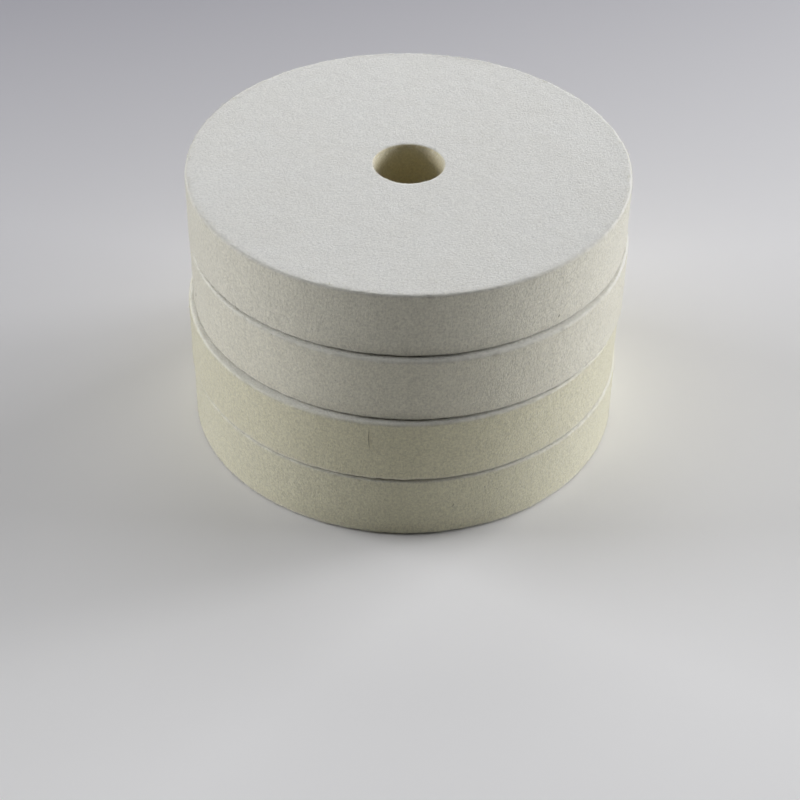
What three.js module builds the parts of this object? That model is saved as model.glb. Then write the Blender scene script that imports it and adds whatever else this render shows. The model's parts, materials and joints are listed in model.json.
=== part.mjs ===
import * as THREE from 'three';

// A stack of thick, plain polishing wheels. Each wheel is one solid disc of pressed wool felt with a
// straight bore through its middle, and lies loose on the wheel below it. Sizes are in millimetres and
// +Z is up. The origin is on the surface that the stack stands on, under the middle of the stack.

const wheelDiameter = 125;
const wheelThickness = 20;
const boreDiameter = 20;
const upperRimRounding = 0.8; // the upper rim is rubbed rounder than the lower one
const lowerRimRounding = 0.5; // between the lower face and the outer wall
const boreRounding = 0.5; // between either face and the wall of the bore

const turnSegments = 72;
const rimArcSegments = 3;
const boreArcSegments = 2;

const feltRoughness = 1;

// The wheels from the bottom of the stack to the top. Each was set down by hand, so it sits slightly off
// the wheel below it: by its slip to the right (+X) and its slip to the back (+Y).
const wheels = [
  { name: 'bottom_felt_wheel', right: 0, back: 0, colour: '#e6e0cb' },
  { name: 'third_felt_wheel', right: -0.4, back: 0.2, colour: '#e7e1cd' },
  { name: 'second_felt_wheel', right: 1.2, back: 1.8, colour: '#e8e3d1' },
  { name: 'top_felt_wheel', right: -0.5, back: 2, colour: '#eae7dd' },
];

// The points of one rounded corner of the wheel's section: a quarter circle, turned anticlockwise.
function roundedCorner({ radius, height, rounding, segments }, startAngle) {
  const points = [];
  for (let step = 0; step <= segments; step += 1) {
    const angle = startAngle + (step / segments) * (Math.PI / 2);
    points.push(
      new THREE.Vector2(radius + rounding * Math.cos(angle), height + rounding * Math.sin(angle)),
    );
  }
  return points;
}

// One wheel, standing on z = 0 with its bore on the Z axis. The section's corners run anticlockwise
// from the lower rim, and each is given by the middle of its rounding.
function wheelGeometry() {
  const wallRadius = wheelDiameter / 2;
  const boreRadius = boreDiameter / 2;
  const corners = [
    {
      radius: wallRadius - lowerRimRounding,
      height: lowerRimRounding,
      rounding: lowerRimRounding,
      segments: rimArcSegments,
    },
    {
      radius: wallRadius - upperRimRounding,
      height: wheelThickness - upperRimRounding,
      rounding: upperRimRounding,
      segments: rimArcSegments,
    },
    {
      radius: boreRadius + boreRounding,
      height: wheelThickness - boreRounding,
      rounding: boreRounding,
      segments: boreArcSegments,
    },
    {
      radius: boreRadius + boreRounding,
      height: boreRounding,
      rounding: boreRounding,
      segments: boreArcSegments,
    },
  ];
  const section = corners.flatMap((corner, index) => roundedCorner(corner, ((index - 1) * Math.PI) / 2));
  section.push(section[0].clone());
  return new THREE.LatheGeometry(section, turnSegments).rotateX(Math.PI / 2);
}

// Each wheel's own place: the sum of the slips of the wheels up to it, one thickness higher each time.
function stackPlaces() {
  const places = [];
  const place = new THREE.Vector3();
  for (const { right, back } of wheels) {
    place.x += right;
    place.y += back;
    places.push(place.clone());
    place.z += wheelThickness;
  }
  const spread = new THREE.Box3().setFromPoints(places);
  const middle = spread.getCenter(new THREE.Vector3()).setZ(0);
  return places.map((each) => each.sub(middle));
}

const stack = new THREE.Group();
const places = stackPlaces();
wheels.forEach(({ name, colour }, index) => {
  const felt = new THREE.MeshStandardMaterial({ color: colour, roughness: feltRoughness, metalness: 0 });
  const wheel = new THREE.Mesh(wheelGeometry(), felt);
  wheel.name = name;
  wheel.position.copy(places[index]);
  stack.add(wheel);
});

export default stack;
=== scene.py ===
"""The finished look of a stack of loose felt polishing wheels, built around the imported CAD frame.

Each wheel is one disc of pressed wool felt: its faces, wall and bore are modelled with the small lumps,
waves and ragged rims of cut felt. Tufts of wool hang over its rims, loose fibres lie on its surface or
stand off it, and a few dark stray hairs are caught in its wall.
"""

import json
import math

import bpy
import numpy as np
from bpy.props import FloatProperty, FloatVectorProperty, IntProperty, PointerProperty
from mathutils import Matrix, Vector, noise


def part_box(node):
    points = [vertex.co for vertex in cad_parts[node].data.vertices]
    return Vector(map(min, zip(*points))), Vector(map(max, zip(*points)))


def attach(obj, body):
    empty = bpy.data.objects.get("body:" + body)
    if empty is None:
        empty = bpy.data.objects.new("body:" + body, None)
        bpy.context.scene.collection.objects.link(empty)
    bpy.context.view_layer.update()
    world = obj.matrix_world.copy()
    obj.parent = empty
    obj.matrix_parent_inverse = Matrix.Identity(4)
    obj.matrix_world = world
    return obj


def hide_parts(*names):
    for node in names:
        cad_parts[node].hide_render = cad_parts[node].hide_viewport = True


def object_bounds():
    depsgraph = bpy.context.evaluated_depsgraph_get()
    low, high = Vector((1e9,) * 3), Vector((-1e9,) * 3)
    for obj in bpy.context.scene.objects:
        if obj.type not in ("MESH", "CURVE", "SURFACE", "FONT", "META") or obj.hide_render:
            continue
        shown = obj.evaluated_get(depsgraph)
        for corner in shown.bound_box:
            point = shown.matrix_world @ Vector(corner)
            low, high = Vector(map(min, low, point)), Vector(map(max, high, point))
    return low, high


bl_info = {
    "name": "Felt polishing wheels",
    "version": (1, 0, 0),
    "blender": (4, 5, 0),
    "location": "3D View > Sidebar > Felt wheels",
    "description": "Builds a stack of pressed wool felt wheels, their loose fibres and a small studio",
    "category": "Add Mesh",
}

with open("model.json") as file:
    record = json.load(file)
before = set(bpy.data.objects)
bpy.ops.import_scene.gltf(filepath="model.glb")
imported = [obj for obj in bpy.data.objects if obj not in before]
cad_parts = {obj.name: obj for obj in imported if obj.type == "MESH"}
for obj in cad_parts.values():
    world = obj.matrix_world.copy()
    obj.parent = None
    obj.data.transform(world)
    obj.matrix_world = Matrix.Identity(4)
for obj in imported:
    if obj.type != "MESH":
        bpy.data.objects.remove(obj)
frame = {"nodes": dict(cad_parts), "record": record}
CAD_LOW, CAD_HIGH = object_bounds()

MM = 0.001
UPWARD = Vector((0.0, 0.0, 1.0))
WHITE = (1.0, 1.0, 1.0)
BLACK = (0.0, 0.0, 0.0)

# The felt's shape
BORE_ARC_RINGS = 4  # steps across the rounded rim of a bore
RIM_END = 0.35  # how strongly a rim is rubbed at the two ends of its rounding
RIM_FULLNESS = 0.5  # the less this is, the more evenly it is rubbed between them
MOUTH_PALENESS = 0.45  # how far the bore's painted shade eases back to the face's colour at its mouths
MOUTH_DEPTH = 3.0 * MM  # how quickly that painted shade deepens inward
WALL_STRETCH = 0.5  # how much the relief is drawn out upright on the wall
RAG_NOISE = (0.7, 2.0, 3)  # smoothness of the ragged rims' noise, step in size, and number of sizes
RAG_MIDDLE = 0.25  # how strong that noise is where the rim stands neither out nor in
NOISE_STEP = Vector((7.31, 3.17, 5.53))  # between the noise of one wheel and that of the next

# Tufts, fibres and hairs. Each spread is how widely a size varies, and its least and greatest share of
# the middle size.
CLEARANCE = 0.02 * MM  # between the wool of one wheel and the next wheel or the floor
ROOT_DEPTH = 0.06 * MM  # how deep a strand is rooted in the felt
PATH_STEPS = 3
STRAY_SHARE = 0.5  # how much of a strand's wander shows in each step
LIFT_RANGE = (-0.1, 1.0)  # the least and greatest share of its lift that a strand takes at a step
TUFT_LENGTH_SPREAD = (0.35, 0.4, 1.8)
TUFT_THICKNESS_SPREAD = (0.55, 0.5, 4.0)
FIBRE_LENGTH_SPREAD = (0.4, 0.4, 2.2)
FIBRE_THICKNESS_RANGE = (0.7, 1.3)
FIBRE_START_LIFT = 0.25  # how steeply a loose fibre leaves the felt
TUFT_SEED = 211
FIBRE_SEED = 411

# Where the points of a strand stand in its mesh: its root, two rings of corners and its tip.
ROOT = 0
LOWER_RING = 1
UPPER_RING = 4
TIP = 7
STRAND_POINTS = 8
CORNERS = 3
UPPER_RING_GIRTH = 0.75  # of the lower ring's
NEARLY_UPRIGHT = 0.8  # a strand that rises more than this share of its length

# Dark hairs caught in each wheel's wall, from the top wheel down. Each has its turn from the front to the
# right in degrees, the height of its lower end above the wheel's lower face and its length in mm, and its
# lean to the right as a share of its length.
STRAY_HAIRS = (
    ((40.5, 2.6, 1.3, 0.2), (152.0, 7.0, 4.5, -0.1)),
    ((-74.0, 6.5, 1.5, 0.2), (118.0, 9.0, 2.5, 0.1)),
    ((-7.6, 10.3, 8.0, -0.03), (-140.0, 8.0, 3.0, 0.15)),
    ((13.0, 9.5, 1.2, 0.3), (22.0, 14.0, 1.1, -0.2), (170.0, 6.0, 5.0, -0.1)),
)
HAIR_STEPS = 8
HAIR_END_GIRTH = 0.15  # of the girth in its middle
HAIR_STAND = 0.6  # how far its middle line stands off the felt, as a share of its half thickness

# The felt's fibres. A lay is the way its fibres are turned about X, Y and Z in degrees, and its own seed.
LEVEL_LAY = ((10.0, -14.0, 74.0), 1.3)
SLANTING_LAY = ((-18.0, 12.0, -47.0), 4.7)
UPRIGHT_LAY = ((0.0, 84.0, 0.0), 8.1)
FIBRE_EDGE = 0.16  # how far the noise strays from its middle at the edge of a fibre
FLAT_LAYS_CHANGE = -0.75  # of the level and slanting lays where the fibres run upright
UPRIGHT_LAY_START = 0.5  # how strong the upright lay is on a face
UPRIGHT_LAY_CHANGE = 0.9  # and its change where the fibres run upright
FLUFF_RANGE = (0.3, 0.7)  # the part of the noise that makes the short fluff
FIBRE_RELIEF = 0.45
FLUFF_RELIEF = 0.55
FIBRE_SHADE = 0.16
FLUFF_SHADE = 0.52
CLOUD_RANGE = (0.32, 0.68)  # the part of the noise that makes the clouds
FLECK_EDGE = (0.6, 1.1)  # where a fleck begins to fade and where it ends, in shares of its size

# The felt's colour, as shares that are mixed in, and its finish
CLOUD_COLOUR = (0.74, 0.69, 0.55)
CLOUD_SHARE = 0.10
GRAIN_RANGE = (0.15, 0.75)  # the shades between the fibres and on them
DEEPEST_GRAIN = 0.86  # how bright a face is between its fibres
WALL_GRAIN_CHANGE = -0.10  # how much that changes on the wall
CLEAREST_GRAIN = 1.05  # how bright the felt is on its fibres
RUBBED_SHARE = 0.4
# how much painted seam shade is mixed into the lower rims
SEAM_SHADE_SHARE = 0.85
FLECK_SHARE = 0.5
FELT_ROUGHNESS = (0.99, 0.88)  # between the fibres and on them
FELT_BUMP = {"Strength": 0.7, "Distance": 0.16 * MM}
FELT_FINISH = {
    "Specular IOR Level": 0.15,
    "Sheen Weight": 0.85,
    "Sheen Roughness": 0.42,
    "Sheen Tint": (*WHITE, 1.0),
}
WOOL_ROUGHNESS = (0.7, 0.9)
WOOL_FINISH = {"Specular IOR Level": 0.2, "Sheen Weight": 0.3, "Sheen Roughness": 0.4}
HAIR_FINISH = {"Roughness": 0.55}
FLOOR_FINISH = {"Roughness": 1.0, "Specular IOR Level": 0.0, "Emission Strength": 1.0}

FLOOR_HALF_SIZE = 4.0
# The floor's colour carries painted light and shade along this way across it, from the far, dim colour at
# the start to the near, bright one at the end.
FLOOR_SHADING_WAY = (0.36, -1.0, 0.0)
FLOOR_SHADING_START = -0.32
FLOOR_SHADING_END = 0.08
# From the first of these distances to the second the lit floor gives way to the even brightness of the
# backdrop, which it then meets without an edge.
BACKDROP_START = 0.33
BACKDROP_END = 1.0

# Each softbox's turn from straight behind the stack, clockwise from above, and its height, in degrees.
SOFTBOX_PLACES = {
    "right_softbox": (80, 14),
    "right_back_softbox": (60, 14),
    "left_softbox": (-80, 14),
    "left_high_softbox": (-70, 65),
    "right_high_softbox": (70, 65),
    "back_softbox": (0, 40),
}
DAYLIGHT = (0.99, 0.995, 1.025)  # the softboxes' colour

BRIGHTEST = 2.0  # the light that is shown as pure white
HIGHLIGHT_BENDS = ((0.72, 0.72), (0.9, 0.83), (1.2, 0.92))  # light from the felt, and how it is shown
COMBINED_CURVE = 3  # the curve that bends all colours alike
CAMERA_AIM = Vector((-1.2 * MM, 0.0, -4.5 * MM))
SENSOR_WIDTH = 36.0  # mm
NEAREST_SEEN = 0.01
FARTHEST_SEEN = 50.0

PANEL_TAB = "Felt wheels"


# ---------------------------------------------------------------------------------------------------
# Sizes and colours that a user would change
# ---------------------------------------------------------------------------------------------------


def length_property(name, default_mm, description):
    """A length, kept in metres."""
    return FloatProperty(
        name=name,
        description=description,
        default=default_mm * MM,
        min=0.0,
        subtype="DISTANCE",
        unit="LENGTH",
        precision=6,
    )


def share_property(name, default, description):
    """A share from nought to one."""
    return FloatProperty(name=name, description=description, default=default, min=0.0, max=1.0)


def crowd_property(name, default, description):
    """A number of strands for each square millimetre."""
    return FloatProperty(name=name, description=description, default=default, min=0.0, max=50.0)


def colour_property(name, default, description):
    """A colour in linear light."""
    return FloatVectorProperty(
        name=name,
        description=description,
        default=default,
        subtype="COLOR",
        size=3,
        min=0.0,
        max=1.0,
    )


def turn_property(name, default_degrees, description):
    """An angle, kept in radians."""
    return FloatProperty(
        name=name,
        description=description,
        default=math.radians(default_degrees),
        subtype="ANGLE",
        unit="ROTATION",
    )


def power_property(name, default_watts):
    """A light's power."""
    return FloatProperty(name=name, description="Power in watts", default=default_watts, min=0.0)


class FeltWheelShape(bpy.types.PropertyGroup):
    """How finely a wheel is modelled and how uneven its felt is."""

    turn_segments: IntProperty(
        name="Segments round a wheel",
        description="Number of steps round each wheel's wall",
        default=560,
        min=32,
    )
    ring_spacing: length_property("Ring spacing", 0.72, "Distance between the rings of a face or wall")
    underside_spacing: length_property("Underside spacing", 2.2, "The same on the face a wheel lies on")
    rim_arc_rings: IntProperty(
        name="Rings on a rim",
        description="Number of rings across each rounded rim",
        default=7,
        min=2,
    )
    upper_rim_rounding: length_property("Upper rim rounding", 0.7, "Radius between upper face and wall")
    lower_rim_rounding: length_property("Lower rim rounding", 0.7, "Radius between lower face and wall")
    bore_rounding: length_property("Bore rounding", 0.4, "Radius between a face and the bore's wall")
    face_inset: length_property("Face inset", 0.1, "How far a face stays inside the full thickness")
    outline_waves: length_property("Outline waves", 0.16, "Depth of the long waves round the wall")
    outline_wave_size: length_property("Outline wave size", 26.0, "Length of those waves")
    lumps: length_property("Lumps", 0.05, "Depth of the small lumps of matted wool")
    lump_size: length_property("Lump size", 4.5, "Width of those lumps")
    relief: length_property("Relief", 0.035, "Depth of the finest relief that is modelled")
    relief_size: length_property("Relief size", 1.7, "Width of that relief")
    rim_raggedness: length_property("Rim raggedness", 0.13, "How unevenly the rims are rubbed")
    rim_rag_size: length_property("Rim rag size", 2.6, "Length of one uneven stretch of a rim")


class RimTuftShape(bpy.types.PropertyGroup):
    """The small tufts of wool that the rims are rubbed into."""

    upper_rim_tufts: crowd_property("Upper rim tufts", 4.0, "Tufts for each square mm of upper rim")
    lower_rim_tufts: crowd_property("Lower rim tufts", 0.3, "The same on the lower rims")
    bore_rim_tufts: crowd_property("Bore rim tufts", 5.0, "The same on the rims of the bores")
    tuft_length: length_property("Tuft length", 0.6, "Middle length of a tuft")
    tuft_thickness: length_property("Tuft thickness", 0.055, "Middle thickness of a tuft")
    tuft_lift: share_property("Tuft lift", 0.12, "How far a tuft turns away from the felt on its way")
    tuft_wander: share_property("Tuft wander", 0.3, "How far a tuft strays to either side")


class LooseFibreShape(bpy.types.PropertyGroup):
    """How many loose wool fibres stand off the felt, their size, and how thick a stray hair is."""

    rim_fibres: crowd_property("Fibres on the rims", 3.0, "Loose fibres for each square mm of rim")
    wall_fibres: crowd_property("Fibres on the walls", 0.6, "The same on the outer wall")
    face_fibres: crowd_property("Fibres on the top face", 0.35, "The same on the top wheel's upper face")
    bore_fibres: crowd_property("Fibres in the bore", 0.6, "The same on the bore's wall")
    fibre_length: length_property("Fibre length", 0.8, "Middle length of a loose fibre")
    fibre_thickness: length_property("Fibre thickness", 0.035, "Thickness of a loose fibre")
    fibre_lift: share_property("Fibre lift", 0.5, "How far a fibre turns away from the felt on its way")
    fibre_wander: share_property("Fibre wander", 0.9, "How far a fibre strays to either side")
    hair_thickness: length_property("Hair thickness", 0.17, "Thickness of a dark stray hair in its middle")


class FeltColours(bpy.types.PropertyGroup):
    """Colours of the felt, in linear light."""

    face: colour_property("Top face", (0.873, 0.87, 0.815), "Clean white face of the top wheel")
    lower_faces: colour_property("Lower faces", (0.89, 0.885, 0.81), "Faces of the wheels under the top one")
    # Partly each wheel's own creamier tint and partly painted shade: the walls are darker and yellower than
    # the face to stand in for the dim, warm shade on their fronts.
    top_wall: colour_property("Top wheel's wall", (0.81, 0.783, 0.652), "Wall of the top wheel")
    second_wall: colour_property("Second wheel's wall", (0.81, 0.78, 0.638), "Wall of the second wheel")
    third_wall: colour_property("Third wheel's wall", (0.785, 0.748, 0.535), "Wall of the third wheel")
    bottom_wall: colour_property("Bottom wheel's wall", (0.785, 0.752, 0.545), "Wall of the bottom wheel")
    # Painted shade: this dark brown on the lower rims draws the shaded seam under each wheel, and where the
    # bottom wheel meets the floor.
    painted_seam_shade: colour_property("Soiled rim", (0.30, 0.25, 0.15), "Dust held in the lower rims")
    # Painted shade: the bore's colour is darker and yellower than the felt, for the shade and warm light
    # bounced about inside the bore.
    bore: colour_property("Bore", (0.74, 0.66, 0.41), "Wall of each bore")
    loose_fibre: colour_property("Loose fibres", (0.90, 0.89, 0.82), "Loose wool fibres")
    stray_hair: colour_property("Stray hairs", (0.10, 0.085, 0.06), "Dark hairs caught in the walls")
    fleck: colour_property("Flecks", (0.30, 0.25, 0.16), "Small dark flecks caught in the wool")


class StudioSettings(bpy.types.PropertyGroup):
    """Camera, lights and floor."""

    camera_distance: length_property("Camera distance", 581.9, "Distance from the camera to its aim")
    camera_azimuth: turn_property("Camera azimuth", 0.2, "Turn of the camera round the stack, to the right")
    camera_elevation: turn_property("Camera elevation", 39.6, "Height angle of the camera")
    camera_roll: turn_property("Camera roll", 1.0, "Tilt of the camera about its own axis")
    camera_lens: FloatProperty(
        name="Camera lens",
        description="Focal length on a 36 mm sensor",
        default=85.1,
        subtype="DISTANCE_CAMERA",
    )
    right_softbox: power_property("Right softbox", 16.7)
    right_back_softbox: power_property("Right back softbox", 19.8)
    left_softbox: power_property("Left softbox", 24.3)
    left_high_softbox: power_property("High left softbox", 1.9)
    right_high_softbox: power_property("High right softbox", 0.8)
    back_softbox: power_property("Back softbox", 3.1)
    softbox_distance: length_property("Softbox distance", 1600, "From the middle of the stack")
    softbox_width: length_property("Softbox width", 900, "Width of each softbox")
    softbox_height: length_property("Softbox height", 700, "Height of each softbox")
    room_light: FloatProperty(name="Room light", description="Strength of the even room light", default=0.01)
    # Painted light and shade on one pale board: the near colour is the lit board, and the far colour paints
    # the shade that greys it behind the stack.
    near_floor: colour_property("Near floor", (0.91, 0.905, 0.895), "Colour of the floor in front")
    far_floor: colour_property("Far floor", (0.405, 0.40, 0.43), "Colour of the floor far behind")
    backdrop: colour_property("Backdrop", (0.36, 0.36, 0.375), "Brightness of the room beyond the floor")


# ---------------------------------------------------------------------------------------------------
# The wheels' shape
# ---------------------------------------------------------------------------------------------------


def level_way(angle):
    """A level way at an angle from +X, anticlockwise from above."""
    return Vector((math.cos(angle), math.sin(angle), 0.0))


class Wheel:
    """One wheel of the frame: its names there, its number from the top, its place and its sizes."""

    def __init__(self, node, slot_name, body, order):
        low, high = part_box(node)
        self.node = node
        self.slot = slot_name
        self.body = body
        self.order = order
        self.centre = Vector(((low.x + high.x) / 2, (low.y + high.y) / 2, low.z))
        self.radius = (high.x - low.x) / 2
        self.thickness = high.z - low.z
        self.bore_radius = self.measured_bore()

    def measured_bore(self):
        """The distance from the wheel's axis to the nearest point of its solid."""
        vertices = frame["nodes"][self.node].data.vertices
        return min(math.hypot(v.co.x - self.centre.x, v.co.y - self.centre.y) for v in vertices)


def stacked_wheels():
    """The frame's wheels from the top of the stack to the bottom."""
    record = frame["record"]
    bodies = {node: body for body, nodes in record["behaviour"]["bodies"].items() for node in nodes}
    found = [(part["node"], part["material_slot"]) for part in record["subparts"]]
    found.sort(key=lambda pair: -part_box(pair[0])[1].z)
    return [Wheel(node, slot_name, bodies[node], order) for order, (node, slot_name) in enumerate(found)]


class Ring:
    """One ring of a wheel's section: its place, the way it faces, how far it belongs to each part, and how
    much painted seam shade it takes.
    """

    def __init__(self, radius, height, facing, wall=0.0, rim=0.0, bore=0.0, soil=0.0):
        self.radius = radius
        self.height = height
        self.facing = facing
        self.wall = wall
        self.rim = rim
        self.bore = bore
        self.soil = soil


def between(start, end, spacing):
    """Evenly spaced values from start to end, both left out."""
    steps = max(2, round(abs(end - start) / spacing))
    return [start + (end - start) * i / steps for i in range(1, steps)]


def section_rings(wheel, shape):
    """The rings of a wheel's section, once round it: lower face, wall, upper face and bore."""
    outer = wheel.radius
    inner = wheel.bore_radius
    top = wheel.thickness
    lower = shape.lower_rim_rounding
    upper = shape.upper_rim_rounding
    lip = shape.bore_rounding
    spacing = shape.ring_spacing
    rings = []

    def arc(radius, height, rounding, start, steps, **parts):
        for i in range(steps + 1):
            angle = start + math.pi / 2 * i / steps
            facing = (math.cos(angle), math.sin(angle))
            share = i / steps
            rings.append(
                Ring(
                    radius + rounding * facing[0],
                    height + rounding * facing[1],
                    facing,
                    rim=math.sin(math.pi * share) ** RIM_FULLNESS if 0 < i < steps else RIM_END,
                    **{name: value(share) for name, value in parts.items()},
                )
            )

    for radius in between(inner + lip, outer - lower, shape.underside_spacing):
        rings.append(Ring(radius, 0.0, (0.0, -1.0)))
    arc(
        outer - lower,
        lower,
        lower,
        -math.pi / 2,
        shape.rim_arc_rings,
        wall=lambda share: share,
        # painted shade, strongest at the underside, for the shaded seam under the wheel
        soil=lambda share: 1 - share**3,
    )
    for height in between(lower, top - upper, spacing):
        rings.append(Ring(outer, height, (1.0, 0.0), wall=1.0))
    arc(outer - upper, top - upper, upper, 0.0, shape.rim_arc_rings, wall=lambda share: 1 - share)
    for radius in between(outer - upper, inner + lip, spacing):
        rings.append(Ring(radius, top, (0.0, 1.0)))
    arc(inner + lip, top - lip, lip, math.pi / 2, BORE_ARC_RINGS, bore=lambda share: share)
    for height in between(top - lip, lip, spacing):
        # Painted shade in the bore, eased near its mouths and deepening inward.
        from_mouth = min(top - height, height)
        paler = MOUTH_PALENESS * math.exp(-from_mouth / MOUTH_DEPTH)
        rings.append(Ring(inner, height, (-1.0, 0.0), bore=1.0 - paler))
    arc(inner + lip, lip, lip, math.pi, BORE_ARC_RINGS, bore=lambda share: 1 - share)
    return rings


def smooth_mesh(name, points, faces):
    """A mesh of these points and faces, shaded smooth."""
    mesh = bpy.data.meshes.new(name)
    mesh.from_pydata(points, [], faces)
    mesh.shade_smooth()
    return mesh


def unevenness(place, ring, shape):
    """How far the felt stands out (+) or in (-) at a place on the wheel."""
    waves = noise.noise(place / shape.outline_wave_size) * shape.outline_waves * ring.wall
    lumps = noise.noise(place / shape.lump_size) * shape.lumps
    drawn_out = Vector((place.x, place.y, place.z * (1 - WALL_STRETCH * ring.wall)))
    relief = noise.noise(drawn_out / shape.relief_size) * shape.relief
    rags = 0.0
    if ring.rim > 0:
        rags = (noise.fractal(place / shape.rim_rag_size, *RAG_NOISE) - RAG_MIDDLE) * shape.rim_raggedness
    return waves + lumps + relief + rags * ring.rim


def wheel_mesh(wheel, shape):
    """The closed mesh of one wheel of felt, with its wall, rims, bore and painted seam shade as attributes.
    """
    rings = section_rings(wheel, shape)
    turns = shape.turn_segments
    places = []
    own_noise = NOISE_STEP * (wheel.order + 1)
    for ring in rings:
        inset = shape.face_inset * abs(ring.facing[1])
        for step in range(turns):
            outward = level_way(math.tau * step / turns)
            place = outward * ring.radius + UPWARD * ring.height
            out = unevenness(place + own_noise, ring, shape) - inset
            place += (outward * ring.facing[0] + UPWARD * ring.facing[1]) * out
            place.z = min(max(place.z, 0.0), wheel.thickness)
            places.append(place + wheel.centre)
    faces = []
    for i in range(len(rings)):
        this, following = i * turns, (i + 1) % len(rings) * turns
        for step in range(turns):
            beside = (step + 1) % turns
            faces.append((this + step, this + beside, following + beside, following + step))
    mesh = smooth_mesh(wheel.node, places, faces)
    for name in ("wall", "rim", "bore", "soil"):
        values = np.repeat([getattr(ring, name) for ring in rings], turns).astype(np.float32)
        mesh.attributes.new(name, "FLOAT", "POINT").data.foreach_set("value", values)
    return mesh


# ---------------------------------------------------------------------------------------------------
# Tufts, loose fibres and stray hairs
# ---------------------------------------------------------------------------------------------------


def read_floats(items, name, width=1):
    """One property of many mesh items as an array."""
    values = np.empty(len(items) * width, np.float32)
    items.foreach_get(name, values)
    return values.reshape(-1, width) if width > 1 else values


def face_shares(mesh, name):
    """Each face's value of a point attribute, from its first corner."""
    values = read_floats(mesh.attributes[name].data, "value")
    firsts = np.empty(len(mesh.polygons), np.int32)
    mesh.polygons.foreach_get("loop_start", firsts)
    corners = np.empty(len(mesh.loops), np.int32)
    mesh.loops.foreach_get("vertex_index", corners)
    return values[corners[firsts]]


def unit(vectors):
    """The vectors at length one."""
    return vectors / np.maximum(np.linalg.norm(vectors, axis=1, keepdims=True), 1e-12)


def in_surface(vectors, facing):
    """The part of each vector that lies in the surface."""
    return vectors - facing * np.sum(vectors * facing, axis=1, keepdims=True)


class FeltSurface:
    """The faces of a finished felt wheel, and which part of the wheel each belongs to."""

    def __init__(self, felt, wheel):
        mesh = felt.data
        self.felt = felt
        self.wheel = wheel
        self.middles = read_floats(mesh.polygons, "center", 3)
        self.facings = read_floats(mesh.polygons, "normal", 3)
        self.areas = read_floats(mesh.polygons, "area") / MM**2
        wall = face_shares(mesh, "wall")
        rim = face_shares(mesh, "rim")
        bore = face_shares(mesh, "bore")
        upward = self.facings[:, 2] > 0
        rounded = rim > 0
        from_axis = np.hypot(self.middles[:, 0] - wheel.centre.x, self.middles[:, 1] - wheel.centre.y)
        outer = from_axis > (wheel.radius + wheel.bore_radius) / 2
        self.upper_rim = rounded & outer & upward
        self.lower_rim = rounded & outer & ~upward
        self.bore_rim = rounded & ~outer
        self.wall = (wall == 1) & ~rounded
        self.bore = (bore > 0) & ~rounded
        self.upper_face = (wall + rim + bore == 0) & upward

    def roots(self, rates, draw):
        """Strewn places on the surface, and the way it faces there, from strands for each square mm."""
        counts = draw.poisson(rates * self.areas)
        chosen = np.repeat(np.arange(len(counts)), counts)
        facing = self.facings[chosen]
        scatter = draw.uniform(-0.5, 0.5, (len(chosen), 3)) * np.sqrt(self.areas[chosen])[:, None] * MM
        return self.middles[chosen] + in_surface(scatter, facing), facing

    def kept_in_place(self, points):
        """The points, none of them under the wheel, and above it only on top of the stack."""
        low = self.wheel.centre.z
        high = low + self.wheel.thickness
        ceiling = CAD_HIGH.z + self.wheel.thickness if self.wheel.order == 0 else high
        points[..., 2] = np.clip(points[..., 2], low + CLEARANCE, ceiling - CLEARANCE)
        return points


def spread_sizes(draw, count, width, least, greatest):
    """A share of the middle size for each strand."""
    return np.clip(draw.lognormal(0.0, width, count), least, greatest)


def strand_paths(roots, facing, start_way, length, lift, wander, draw):
    """The points of each strand's path, which turns away from the felt and strays as it goes."""
    way = unit(start_way)
    points = [roots - facing * ROOT_DEPTH]
    for _ in range(PATH_STEPS):
        points.append(points[-1] + way * length[:, None] / PATH_STEPS)
        stray = draw.normal(size=roots.shape) * wander
        outward = facing * draw.uniform(*LIFT_RANGE, (len(roots), 1)) * lift
        way = unit(way + outward + stray * STRAY_SHARE)
        sunk = np.minimum(np.sum(way * facing, axis=1, keepdims=True), 0.0)
        way = unit(way - facing * sunk)
    return np.stack(points, axis=1)


def strand_mesh(name, surface, paths, thickness):
    """Three-sided strands along the paths, pointed at both ends and kept clear of the next wheel."""
    count = len(paths)
    along = unit(paths[:, 2] - paths[:, 0])
    leaning = np.where(np.abs(along[:, 2:]) > NEARLY_UPRIGHT, (1.0, 0.0, 0.0), (0.0, 0.0, 1.0))
    across = unit(np.cross(along, leaning))
    over = np.cross(along, across)
    points = np.empty((count, STRAND_POINTS, 3))
    points[:, ROOT] = paths[:, 0]
    points[:, TIP] = paths[:, 3]
    for corner in range(CORNERS):
        angle = math.tau * corner / CORNERS
        arm = (across * math.cos(angle) + over * math.sin(angle)) * thickness[:, None] / 2
        points[:, LOWER_RING + corner] = paths[:, 1] + arm
        points[:, UPPER_RING + corner] = paths[:, 2] + arm * UPPER_RING_GIRTH
    points = surface.kept_in_place(points)
    pattern = []
    for corner in range(CORNERS):
        beside = (corner + 1) % CORNERS
        lower = LOWER_RING + corner
        lower_beside = LOWER_RING + beside
        upper = UPPER_RING + corner
        upper_beside = UPPER_RING + beside
        pattern.append((ROOT, lower_beside, lower))
        pattern.append((lower, lower_beside, upper_beside, upper))
        pattern.append((upper, upper_beside, TIP))
    faces = [tuple(STRAND_POINTS * i + point for point in face) for i in range(count) for face in pattern]
    return smooth_mesh(name, points.reshape(-1, 3), faces)


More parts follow.
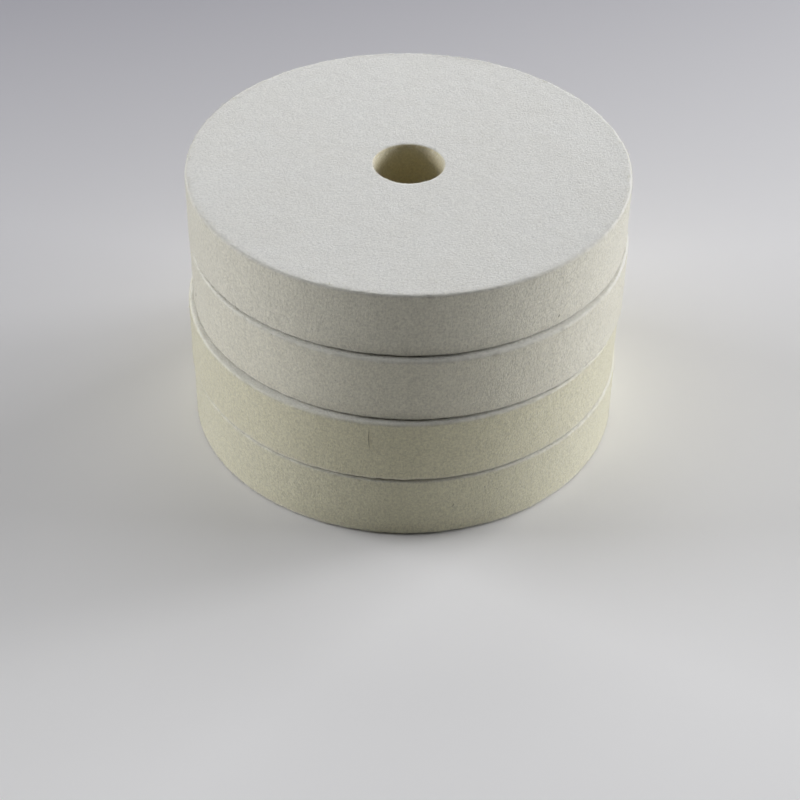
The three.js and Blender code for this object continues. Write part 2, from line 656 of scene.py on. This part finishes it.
def rim_tuft_mesh(name, surface, tufts, draw):
    """Short thick tufts that hang over the rims, towards the wall or into the bore."""
    rates = (
        surface.upper_rim * tufts.upper_rim_tufts
        + surface.lower_rim * tufts.lower_rim_tufts
        + surface.bore_rim * tufts.bore_rim_tufts
    )
    roots, facing = surface.roots(rates, draw)
    count = len(roots)
    to_wall = facing * (1.0, 1.0, 0.0) - (0.0, 0.0, 1.0) * np.sign(facing[:, 2:])
    start_way = in_surface(to_wall, facing) + draw.normal(size=(count, 3)) * tufts.tuft_wander
    length = tufts.tuft_length * spread_sizes(draw, count, *TUFT_LENGTH_SPREAD)
    paths = strand_paths(roots, facing, start_way, length, tufts.tuft_lift, tufts.tuft_wander, draw)
    thickness = tufts.tuft_thickness * spread_sizes(draw, count, *TUFT_THICKNESS_SPREAD)
    return strand_mesh(name, surface, paths, thickness)


def loose_fibre_mesh(name, surface, fibres, draw):
    """Single fibres that lie on the felt or stand off it."""
    rates = (
        (surface.upper_rim | surface.lower_rim | surface.bore_rim) * fibres.rim_fibres
        + surface.wall * fibres.wall_fibres
        + surface.bore * fibres.bore_fibres
    )
    if surface.wheel.order == 0:
        rates = rates + surface.upper_face * fibres.face_fibres
    roots, facing = surface.roots(rates, draw)
    count = len(roots)
    start_way = in_surface(draw.normal(size=(count, 3)), facing) + facing * FIBRE_START_LIFT
    length = fibres.fibre_length * spread_sizes(draw, count, *FIBRE_LENGTH_SPREAD)
    paths = strand_paths(roots, facing, start_way, length, fibres.fibre_lift, fibres.fibre_wander, draw)
    thickness = fibres.fibre_thickness * draw.uniform(*FIBRE_THICKNESS_RANGE, count)
    return strand_mesh(name, surface, paths, thickness)


def stray_hair_mesh(name, surface, hairs, thickness):
    """Long single hairs that lie along the wall, each a three-sided strand of several steps."""
    wheel = surface.wheel
    points = []
    faces = []
    for turn, height, length, lean in hairs:
        first = len(points)
        for step in range(HAIR_STEPS + 1):
            share = step / HAIR_STEPS
            bend = lean * math.sin(math.pi * share) + lean * share
            outward = level_way(math.radians(turn - 90) + bend * length / (wheel.radius / MM))
            guess = wheel.centre + outward * wheel.radius
            guess.z += (height + length * share) * MM
            found, place, facing, _ = surface.felt.closest_point_on_mesh(guess)
            if not found:
                raise RuntimeError("A stray hair found no felt to lie on.")
            across = UPWARD.cross(facing).normalized()
            girth = thickness / 2 * max(math.sin(math.pi * share), HAIR_END_GIRTH)
            for corner in range(CORNERS):
                angle = math.tau * corner / CORNERS
                arm = facing * (math.cos(angle) + HAIR_STAND) + across * math.sin(angle)
                points.append(place + arm * girth)
        for step in range(HAIR_STEPS):
            low = first + CORNERS * step
            high = low + CORNERS
            for corner in range(CORNERS):
                beside = (corner + 1) % CORNERS
                faces.append((low + corner, low + beside, high + beside, high + corner))
        last = first + CORNERS * HAIR_STEPS
        faces.append((first + 2, first + 1, first))
        faces.append((last, last + 1, last + 2))
    return smooth_mesh(name, points, faces)


# ---------------------------------------------------------------------------------------------------
# Shader node groups
# ---------------------------------------------------------------------------------------------------


def node_in(tree, kind, values=None, **settings):
    """Adds a node, sets its own settings and the values of its inputs by name or number."""
    node = tree.nodes.new(kind)
    for name, value in settings.items():
        setattr(node, name, value)
    for name, value in (values or {}).items():
        node.inputs[name].default_value = value
    return node


def maths(tree, operation, first, second=None, third=None, clamp=False):
    """A Math node's result. Each input is a socket or a number."""
    node = node_in(tree, "ShaderNodeMath", operation=operation, use_clamp=clamp)
    for i, value in enumerate((first, second, third)):
        if value is None:
            continue
        if isinstance(value, (int, float)):
            node.inputs[i].default_value = value
        else:
            tree.links.new(value, node.inputs[i])
    return node.outputs[0]


def ranged(tree, value, low, high, to_low=0.0, to_high=1.0):
    """A Map Range node's result, held inside its range."""
    node = node_in(tree, "ShaderNodeMapRange", {1: low, 2: high, 3: to_low, 4: to_high}, clamp=True)
    tree.links.new(value, node.inputs[0])
    return node.outputs[0]


def in_millimetres(tree, place):
    """A place given in metres, in millimetres."""
    node = node_in(tree, "ShaderNodeVectorMath", {"Scale": 1 / MM}, operation="SCALE")
    tree.links.new(place, node.inputs[0])
    return node.outputs[0]


def new_group(name, inputs, outputs):
    """An empty shader node group with named sockets, and its input and output nodes."""
    group = bpy.data.node_groups.new(name, "ShaderNodeTree")
    for socket_name, kind, default in inputs:
        socket = group.interface.new_socket(socket_name, in_out="INPUT", socket_type=kind)
        if default is not None:
            socket.default_value = default
    for socket_name, kind in outputs:
        group.interface.new_socket(socket_name, in_out="OUTPUT", socket_type=kind)
    return group, group.nodes.new("NodeGroupInput"), group.nodes.new("NodeGroupOutput")


def matted_fibre_group():
    """Fine wool fibres pressed together: three lays of long strands over short fluff."""
    group, given, made = new_group(
        "Matted fibres",
        [
            ("Place", "NodeSocketVector", None),
            ("Strand Length", "NodeSocketFloat", 2.4),
            ("Strand Width", "NodeSocketFloat", 0.35),
            ("Fluff Size", "NodeSocketFloat", 0.7),
            ("Upright", "NodeSocketFloat", 0.0),
        ],
        [("Relief", "NodeSocketFloat"), ("Shade", "NodeSocketFloat")],
    )
    links = group.links
    millimetres = in_millimetres(group, given.outputs["Place"])
    long_way = maths(group, "DIVIDE", 1.0, given.outputs["Strand Length"])
    short_way = maths(group, "DIVIDE", 1.0, given.outputs["Strand Width"])
    stretch = node_in(group, "ShaderNodeCombineXYZ")
    links.new(long_way, stretch.inputs[0])
    links.new(short_way, stretch.inputs[1])
    links.new(short_way, stretch.inputs[2])

    def strands(turned, seed):
        """One lay of fibres, brightest along the middle of each."""
        turning = node_in(
            group,
            "ShaderNodeVectorRotate",
            {"Rotation": [math.radians(angle) for angle in turned]},
            rotation_type="EULER_XYZ",
        )
        links.new(millimetres, turning.inputs["Vector"])
        drawn = node_in(group, "ShaderNodeVectorMath", operation="MULTIPLY")
        links.new(turning.outputs[0], drawn.inputs[0])
        links.new(stretch.outputs[0], drawn.inputs[1])
        wool = node_in(
            group,
            "ShaderNodeTexNoise",
            {"W": seed, "Scale": 1.0, "Detail": 2.0, "Roughness": 0.6, "Distortion": 0.7},
            noise_dimensions="4D",
        )
        links.new(drawn.outputs[0], wool.inputs["Vector"])
        off_middle = maths(group, "ABSOLUTE", maths(group, "SUBTRACT", wool.outputs[0], 0.5))
        return ranged(group, off_middle, 0.0, FIBRE_EDGE, 1.0, 0.0)

    upright_way = given.outputs["Upright"]
    flat_share = maths(group, "MULTIPLY_ADD", upright_way, FLAT_LAYS_CHANGE, 1.0)
    upright_share = maths(group, "MULTIPLY_ADD", upright_way, UPRIGHT_LAY_CHANGE, UPRIGHT_LAY_START)
    level = maths(group, "MULTIPLY", strands(*LEVEL_LAY), flat_share)
    slanting = maths(group, "MULTIPLY", strands(*SLANTING_LAY), flat_share)
    upright = maths(group, "MULTIPLY", strands(*UPRIGHT_LAY), upright_share)
    crossing = maths(group, "MAXIMUM", maths(group, "MAXIMUM", level, slanting), upright)
    lays = maths(group, "ADD", maths(group, "ADD", level, slanting), upright)

    fluff = node_in(
        group,
        "ShaderNodeTexNoise",
        {"Detail": 2.0, "Roughness": 0.55, "Distortion": 0.3},
        noise_dimensions="3D",
    )
    links.new(millimetres, fluff.inputs["Vector"])
    links.new(maths(group, "DIVIDE", 1.0, given.outputs["Fluff Size"]), fluff.inputs["Scale"])
    short_fibres = ranged(group, fluff.outputs[0], *FLUFF_RANGE)

    fluff_relief = maths(group, "MULTIPLY", short_fibres, FLUFF_RELIEF)
    fluff_shade = maths(group, "MULTIPLY", short_fibres, FLUFF_SHADE)
    relief = maths(group, "MULTIPLY_ADD", crossing, FIBRE_RELIEF, fluff_relief)
    shade = maths(group, "MULTIPLY_ADD", lays, FIBRE_SHADE, fluff_shade)
    links.new(relief, made.inputs["Relief"])
    links.new(shade, made.inputs["Shade"])
    return group


def handling_group():
    """Soft clouds of discolouring, and the odd dark fleck caught in the wool."""
    group, given, made = new_group(
        "Handling marks",
        [
            ("Place", "NodeSocketVector", None),
            ("Cloud Size", "NodeSocketFloat", 18.0),
            ("Fleck Spacing", "NodeSocketFloat", 7.0),
            ("Fleck Size", "NodeSocketFloat", 0.2),
            ("Seed", "NodeSocketFloat", 0.0),
        ],
        [("Clouds", "NodeSocketFloat"), ("Flecks", "NodeSocketFloat")],
    )
    links = group.links
    millimetres = in_millimetres(group, given.outputs["Place"])
    cloud = node_in(
        group,
        "ShaderNodeTexNoise",
        {"Detail": 4.0, "Roughness": 0.55, "Distortion": 0.2},
        noise_dimensions="4D",
    )
    links.new(millimetres, cloud.inputs["Vector"])
    links.new(given.outputs["Seed"], cloud.inputs["W"])
    links.new(maths(group, "DIVIDE", 1.0, given.outputs["Cloud Size"]), cloud.inputs["Scale"])
    links.new(ranged(group, cloud.outputs[0], *CLOUD_RANGE), made.inputs["Clouds"])

    cells = node_in(group, "ShaderNodeTexVoronoi", voronoi_dimensions="4D", feature="F1")
    links.new(millimetres, cells.inputs["Vector"])
    links.new(given.outputs["Seed"], cells.inputs["W"])
    links.new(maths(group, "DIVIDE", 1.0, given.outputs["Fleck Spacing"]), cells.inputs["Scale"])
    size = maths(group, "DIVIDE", given.outputs["Fleck Size"], given.outputs["Fleck Spacing"])
    near = maths(group, "DIVIDE", cells.outputs["Distance"], size)
    links.new(ranged(group, near, *FLECK_EDGE, 1.0, 0.0), made.inputs["Flecks"])
    return group


# ---------------------------------------------------------------------------------------------------
# Materials
# ---------------------------------------------------------------------------------------------------


def new_material(name):
    """A material with a Principled shader and nothing else set."""
    material = bpy.data.materials.new(name)
    material.use_nodes = True
    return material, material.node_tree, material.node_tree.nodes["Principled BSDF"]


def placed_group(tree, group, place, **values):
    """A node group in a material, fed with the place on the surface and with its own values."""
    node = node_in(tree, "ShaderNodeGroup", node_tree=group)
    tree.links.new(place, node.inputs["Place"])
    for name, value in values.items():
        node.inputs[name.replace("_", " ").title()].default_value = value
    return node


def mixed_colour(tree, share, first, second, blend="MIX"):
    """A colour between two, each a socket or a colour, by a share that is a socket or a number."""
    node = node_in(tree, "ShaderNodeMix", data_type="RGBA", blend_type=blend)
    for socket, value in ((0, share), (6, first), (7, second)):
        if isinstance(value, bpy.types.NodeSocket):
            tree.links.new(value, node.inputs[socket])
        elif socket:
            node.inputs[socket].default_value = (*value, 1.0)
        else:
            node.inputs[socket].default_value = value
    return node.outputs[2]


def attribute_value(tree, name):
    """A point attribute's value."""
    return node_in(tree, "ShaderNodeAttribute", attribute_name=name).outputs["Fac"]


def grey(tree, value):
    """A grey colour of a value."""
    node = node_in(tree, "ShaderNodeCombineColor")
    for socket in node.inputs:
        tree.links.new(value, socket)
    return node.outputs[0]


def finish(shader, values):
    """Sets what is the same all over the surface on the shader itself."""
    for name, value in values.items():
        shader.inputs[name].default_value = value


def wall_colour(wheel, colours):
    """The colour of one wheel's wall, partly its own tint and partly painted shade."""
    walls = (colours.top_wall, colours.second_wall, colours.third_wall, colours.bottom_wall)
    return walls[wheel.order]


def felt_material(wheel, colours, groups):
    """Pressed wool felt: white face, creamier wall darkened further with painted shade, bore painted dark
    with shade, matted grain, painted seam shade on the lower rims, clouds and flecks.
    """
    material, tree, shader = new_material(wheel.slot)
    place = node_in(tree, "ShaderNodeTexCoord").outputs["Object"]
    wall = attribute_value(tree, "wall")
    rim = attribute_value(tree, "rim")
    bore = attribute_value(tree, "bore")
    soil = attribute_value(tree, "soil")
    grain = placed_group(tree, groups["fibres"], place)
    tree.links.new(wall, grain.inputs["Upright"])
    marks = placed_group(tree, groups["marks"], place, seed=1.7 + 2.3 * wheel.order)

    face = colours.face if wheel.order == 0 else colours.lower_faces
    # The wall's colour is partly the wheel's own tint and partly painted shade, darker and yellower than the
    # face.
    felt = mixed_colour(tree, wall, face, wall_colour(wheel, colours))
    # Painted shade: the bore is mixed towards its darker, yellower colour, for the shade inside it.
    felt = mixed_colour(tree, bore, felt, colours.bore)
    clouds = maths(tree, "MULTIPLY", marks.outputs["Clouds"], CLOUD_SHARE)
    felt = mixed_colour(tree, clouds, felt, CLOUD_COLOUR)
    deepest = maths(tree, "MULTIPLY_ADD", wall, WALL_GRAIN_CHANGE, DEEPEST_GRAIN)
    depth = ranged(tree, grain.outputs["Shade"], *GRAIN_RANGE)
    rise = maths(tree, "SUBTRACT", CLEAREST_GRAIN, deepest)
    dimmed = maths(tree, "MULTIPLY_ADD", depth, rise, deepest)
    felt = mixed_colour(tree, 1.0, felt, grey(tree, dimmed), "MULTIPLY")
    rubbed = maths(tree, "MULTIPLY", rim, RUBBED_SHARE)
    felt = mixed_colour(tree, rubbed, felt, colours.loose_fibre)
    # Painted shade: the lower rims are darkened to brown for the shaded seam between one wheel and the next.
    seam_shaded = maths(tree, "MULTIPLY", soil, SEAM_SHADE_SHARE)
    felt = mixed_colour(tree, seam_shaded, felt, colours.painted_seam_shade)
    flecks = maths(tree, "MULTIPLY", marks.outputs["Flecks"], FLECK_SHARE)
    felt = mixed_colour(tree, flecks, felt, colours.fleck)
    tree.links.new(felt, shader.inputs["Base Color"])

    roughness = ranged(tree, grain.outputs["Shade"], 0.0, 1.0, *FELT_ROUGHNESS)
    tree.links.new(roughness, shader.inputs["Roughness"])
    bump = node_in(tree, "ShaderNodeBump", FELT_BUMP)
    tree.links.new(grain.outputs["Relief"], bump.inputs["Height"])
    tree.links.new(bump.outputs[0], shader.inputs["Normal"])
    finish(shader, FELT_FINISH)
    return material


def wool_material(name, wheel, colours, groups):
    """Wool that stands off the felt, a little clearer than the felt it comes from."""
    material, tree, shader = new_material(name)
    place = node_in(tree, "ShaderNodeTexCoord").outputs["Object"]
    marks = placed_group(tree, groups["marks"], place, cloud_size=1.5, seed=0.4 + wheel.order)
    wool = mixed_colour(tree, marks.outputs["Clouds"], colours.loose_fibre, wall_colour(wheel, colours))
    tree.links.new(wool, shader.inputs["Base Color"])
    roughness = ranged(tree, marks.outputs["Clouds"], 0.0, 1.0, *WOOL_ROUGHNESS)
    tree.links.new(roughness, shader.inputs["Roughness"])
    finish(shader, WOOL_FINISH)
    return material


def hair_material(name, colours, groups):
    """A dark, slightly glossy hair, with its colour uneven along it."""
    material, tree, shader = new_material(name)
    place = node_in(tree, "ShaderNodeTexCoord").outputs["Object"]
    marks = placed_group(tree, groups["marks"], place, cloud_size=2.0, seed=3.0)
    hair = mixed_colour(tree, marks.outputs["Clouds"], colours.stray_hair, colours.fleck)
    tree.links.new(hair, shader.inputs["Base Color"])
    finish(shader, HAIR_FINISH)
    return material


def floor_material(studio):
    """Smooth pale board with painted shade that greys it from front to back, and that fades into the
    backdrop.
    """
    material, tree, shader = new_material("pale_floor")
    place = node_in(tree, "ShaderNodeTexCoord").outputs["Object"]
    along = node_in(tree, "ShaderNodeVectorMath", {1: FLOOR_SHADING_WAY}, operation="DOT_PRODUCT")
    tree.links.new(place, along.inputs[0])
    nearness = ranged(tree, along.outputs["Value"], FLOOR_SHADING_START, FLOOR_SHADING_END)
    # Painted shade: the board greys from its pale near colour to the far one.
    board = mixed_colour(tree, nearness, studio.far_floor, studio.near_floor)
    distance = node_in(tree, "ShaderNodeVectorMath", operation="LENGTH")
    tree.links.new(place, distance.inputs[0])
    farness = ranged(tree, distance.outputs["Value"], BACKDROP_START, BACKDROP_END)
    tree.links.new(mixed_colour(tree, farness, board, BLACK), shader.inputs["Base Color"])
    backdrop = mixed_colour(tree, farness, BLACK, studio.backdrop)
    tree.links.new(backdrop, shader.inputs["Emission Color"])
    finish(shader, FLOOR_FINISH)
    material.cycles.emission_sampling = "NONE"
    return material


def room_world(studio):
    """Even room light, behind a pale backdrop that only the camera sees."""
    world = bpy.data.worlds.new("room")
    world.use_nodes = True
    tree = world.node_tree
    room = tree.nodes["Background"]
    finish(room, {"Color": (*WHITE, 1.0), "Strength": studio.room_light})
    backdrop = node_in(tree, "ShaderNodeBackground", {"Color": (*studio.backdrop, 1.0), "Strength": 1.0})
    seen = node_in(tree, "ShaderNodeMixShader")
    tree.links.new(node_in(tree, "ShaderNodeLightPath").outputs["Is Camera Ray"], seen.inputs[0])
    tree.links.new(room.outputs[0], seen.inputs[1])
    tree.links.new(backdrop.outputs[0], seen.inputs[2])
    tree.links.new(seen.outputs[0], tree.nodes["World Output"].inputs["Surface"])
    return world


# ---------------------------------------------------------------------------------------------------
# Operators
# ---------------------------------------------------------------------------------------------------


def placed(name, mesh, material):
    """A new object in the scene that holds the mesh and its material."""
    mesh.materials.append(material)
    made = bpy.data.objects.new(name, mesh)
    bpy.context.scene.collection.objects.link(made)
    return made


def shared_groups():
    """The node groups that the materials share, made once."""
    fibres = bpy.data.node_groups.get("Matted fibres") or matted_fibre_group()
    marks = bpy.data.node_groups.get("Handling marks") or handling_group()
    return {"fibres": fibres, "marks": marks}


class FELT_OT_wheels(bpy.types.Operator):
    """Builds the felt wheels in place of their plain solids"""

    bl_idname = "felt.wheels"
    bl_label = "Felt wheels"

    def execute(self, context):
        shape = context.scene.felt_wheel_shape
        colours = context.scene.felt_colours
        groups = shared_groups()
        for wheel in stacked_wheels():
            material = felt_material(wheel, colours, groups)
            made = placed(wheel.node + "_felt", wheel_mesh(wheel, shape), material)
            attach(made, wheel.body)
            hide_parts(wheel.node)
        return {"FINISHED"}


def felt_surfaces():
    """Each wheel with the surface of its finished felt."""
    for wheel in stacked_wheels():
        felt = bpy.data.objects.get(wheel.node + "_felt")
        if felt is None:
            raise RuntimeError("The wheels come before their tufts, loose fibres and stray hairs.")
        yield wheel, FeltSurface(felt, wheel)


def place_strands(wheel, name, mesh, material):
    """Sets the tufts, fibres or hairs of one wheel in the scene and lets them ride with it."""
    made = placed(name, mesh, material)
    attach(made, wheel.body)


class FELT_OT_rim_tufts(bpy.types.Operator):
    """Hangs small tufts of wool over the rims of the wheels and their bores"""

    bl_idname = "felt.rim_tufts"
    bl_label = "Rim tufts"

    def execute(self, context):
        colours = context.scene.felt_colours
        groups = shared_groups()
        for wheel, surface in felt_surfaces():
            name = wheel.node + "_rim_tufts"
            draw = np.random.default_rng(TUFT_SEED + wheel.order)
            mesh = rim_tuft_mesh(name, surface, context.scene.rim_tuft_shape, draw)
            place_strands(wheel, name, mesh, wool_material(name, wheel, colours, groups))
        return {"FINISHED"}


class FELT_OT_loose_fibres(bpy.types.Operator):
    """Strews loose wool fibres on the rims, walls, bores and top face"""

    bl_idname = "felt.loose_fibres"
    bl_label = "Loose fibres"

    def execute(self, context):
        colours = context.scene.felt_colours
        groups = shared_groups()
        for wheel, surface in felt_surfaces():
            name = wheel.node + "_loose_fibres"
            draw = np.random.default_rng(FIBRE_SEED + wheel.order)
            mesh = loose_fibre_mesh(name, surface, context.scene.loose_fibre_shape, draw)
            place_strands(wheel, name, mesh, wool_material(name, wheel, colours, groups))
        return {"FINISHED"}


class FELT_OT_stray_hairs(bpy.types.Operator):
    """Lays a few dark hairs on the walls of the wheels"""

    bl_idname = "felt.stray_hairs"
    bl_label = "Stray hairs"

    def execute(self, context):
        colours = context.scene.felt_colours
        groups = shared_groups()
        thickness = context.scene.loose_fibre_shape.hair_thickness
        for wheel, surface in felt_surfaces():
            name = wheel.node + "_stray_hairs"
            mesh = stray_hair_mesh(name, surface, STRAY_HAIRS[wheel.order], thickness)
            place_strands(wheel, name, mesh, hair_material(name, colours, groups))
        return {"FINISHED"}


def softbox(name, place, aim, studio):
    """A rectangular daylight lamp at a place, turned to its aim."""
    light = bpy.data.lights.new(name, "AREA")
    light.shape = "RECTANGLE"
    light.size = studio.softbox_width
    light.size_y = studio.softbox_height
    light.energy = getattr(studio, name)
    light.color = DAYLIGHT
    made = bpy.data.objects.new(name, light)
    made.location = place
    made.rotation_mode = "QUATERNION"
    made.rotation_quaternion = (aim - place).to_track_quat("-Z", "Y")
    made.visible_camera = False
    bpy.context.scene.collection.objects.link(made)


def direction(turn, height):
    """The way to a place round the stack, from its turn from straight behind and its height angle."""
    level = math.cos(height)
    return Vector((math.sin(turn) * level, math.cos(turn) * level, math.sin(height)))


class FELT_OT_studio(bpy.types.Operator):
    """Lays the pale floor and sets the soft lights and the camera"""

    bl_idname = "felt.studio"
    bl_label = "Studio"

    def execute(self, context):
        studio = context.scene.felt_studio
        self.lay_floor(studio)
        self.set_lights(studio)
        self.soften_highlights(context.scene.view_settings)
        self.set_camera(studio)
        return {"FINISHED"}

    def lay_floor(self, studio):
        """A wide flat board under the stack."""
        half = FLOOR_HALF_SIZE
        corners = [(-half, -half, 0.0), (half, -half, 0.0), (half, half, 0.0), (-half, half, 0.0)]
        mesh = bpy.data.meshes.new("floor")
        mesh.from_pydata(corners, [], [(0, 1, 2, 3)])
        placed("floor", mesh, floor_material(studio))

    def set_lights(self, studio):
        """The softboxes round the stack, and the room's own light."""
        middle = (CAD_LOW + CAD_HIGH) / 2
        for name, (turn, height) in SOFTBOX_PLACES.items():
            way = direction(math.radians(turn), math.radians(height))
            softbox(name, middle + way * studio.softbox_distance, middle, studio)
        bpy.context.scene.world = room_world(studio)

    def soften_highlights(self, view):
        """Bends the brightest light gently in under white, and leaves the rest as it is."""
        view.view_transform = "Standard"
        view.use_curve_mapping = True
        mapping = view.curve_mapping
        mapping.white_level = (BRIGHTEST, BRIGHTEST, BRIGHTEST)
        curve = mapping.curves[COMBINED_CURVE]
        curve.points[-1].location = (1.0, 1.0)
        for light, shown in HIGHLIGHT_BENDS:
            curve.points.new(light / BRIGHTEST, shown)
        for point in curve.points:
            point.handle_type = "VECTOR"
        mapping.update()

    def set_camera(self, studio):
        """A camera that looks down on the stack from the front."""
        camera = bpy.data.cameras.new("camera")
        camera.lens = studio.camera_lens
        camera.sensor_width = SENSOR_WIDTH
        camera.clip_start = NEAREST_SEEN
        camera.clip_end = FARTHEST_SEEN
        azimuth = studio.camera_azimuth
        back = direction(math.pi - azimuth, studio.camera_elevation)
        roll = Matrix.Rotation(studio.camera_roll, 3, back)
        right = roll @ level_way(azimuth)
        upward = back.cross(right)
        turned = Matrix((right, upward, back)).transposed().to_4x4()
        made = bpy.data.objects.new("camera", camera)
        made.matrix_world = Matrix.Translation(CAMERA_AIM + back * studio.camera_distance) @ turned
        bpy.context.scene.collection.objects.link(made)
        bpy.context.scene.camera = made


class FELT_PT_wheels(bpy.types.Panel):
    """Lists the pieces, their sizes and their colours"""

    bl_idname = "FELT_PT_wheels"
    bl_label = "Felt polishing wheels"
    bl_space_type = "VIEW_3D"
    bl_region_type = "UI"
    bl_category = PANEL_TAB

    def draw(self, context):
        for operator, settings in STEPS:
            box = self.layout.box()
            box.operator(operator)
            for name in settings:
                group = getattr(context.scene, name)
                for prop in group.__annotations__:
                    box.prop(group, prop)


STEPS = (
    ("felt.wheels", ("felt_wheel_shape", "felt_colours")),
    ("felt.rim_tufts", ("rim_tuft_shape",)),
    ("felt.loose_fibres", ("loose_fibre_shape",)),
    ("felt.stray_hairs", ()),
    ("felt.studio", ("felt_studio",)),
)

SETTINGS = {
    "felt_wheel_shape": FeltWheelShape,
    "rim_tuft_shape": RimTuftShape,
    "loose_fibre_shape": LooseFibreShape,
    "felt_colours": FeltColours,
    "felt_studio": StudioSettings,
}

CLASSES = (
    *SETTINGS.values(),
    FELT_OT_wheels,
    FELT_OT_rim_tufts,
    FELT_OT_loose_fibres,
    FELT_OT_stray_hairs,
    FELT_OT_studio,
    FELT_PT_wheels,
)


def register():
    """Adds the classes and their settings."""
    for cls in CLASSES:
        bpy.utils.register_class(cls)
    for name, group in SETTINGS.items():
        setattr(bpy.types.Scene, name, PointerProperty(type=group))


def unregister():
    """Takes them away again."""
    for name in SETTINGS:
        delattr(bpy.types.Scene, name)
    for cls in reversed(CLASSES):
        bpy.utils.unregister_class(cls)


def main():
    """Builds every piece and the studio."""
    register()
    bpy.ops.felt.wheels()
    bpy.ops.felt.rim_tufts()
    bpy.ops.felt.loose_fibres()
    bpy.ops.felt.stray_hairs()
    bpy.ops.felt.studio()


if __name__ == "__main__":
    main()
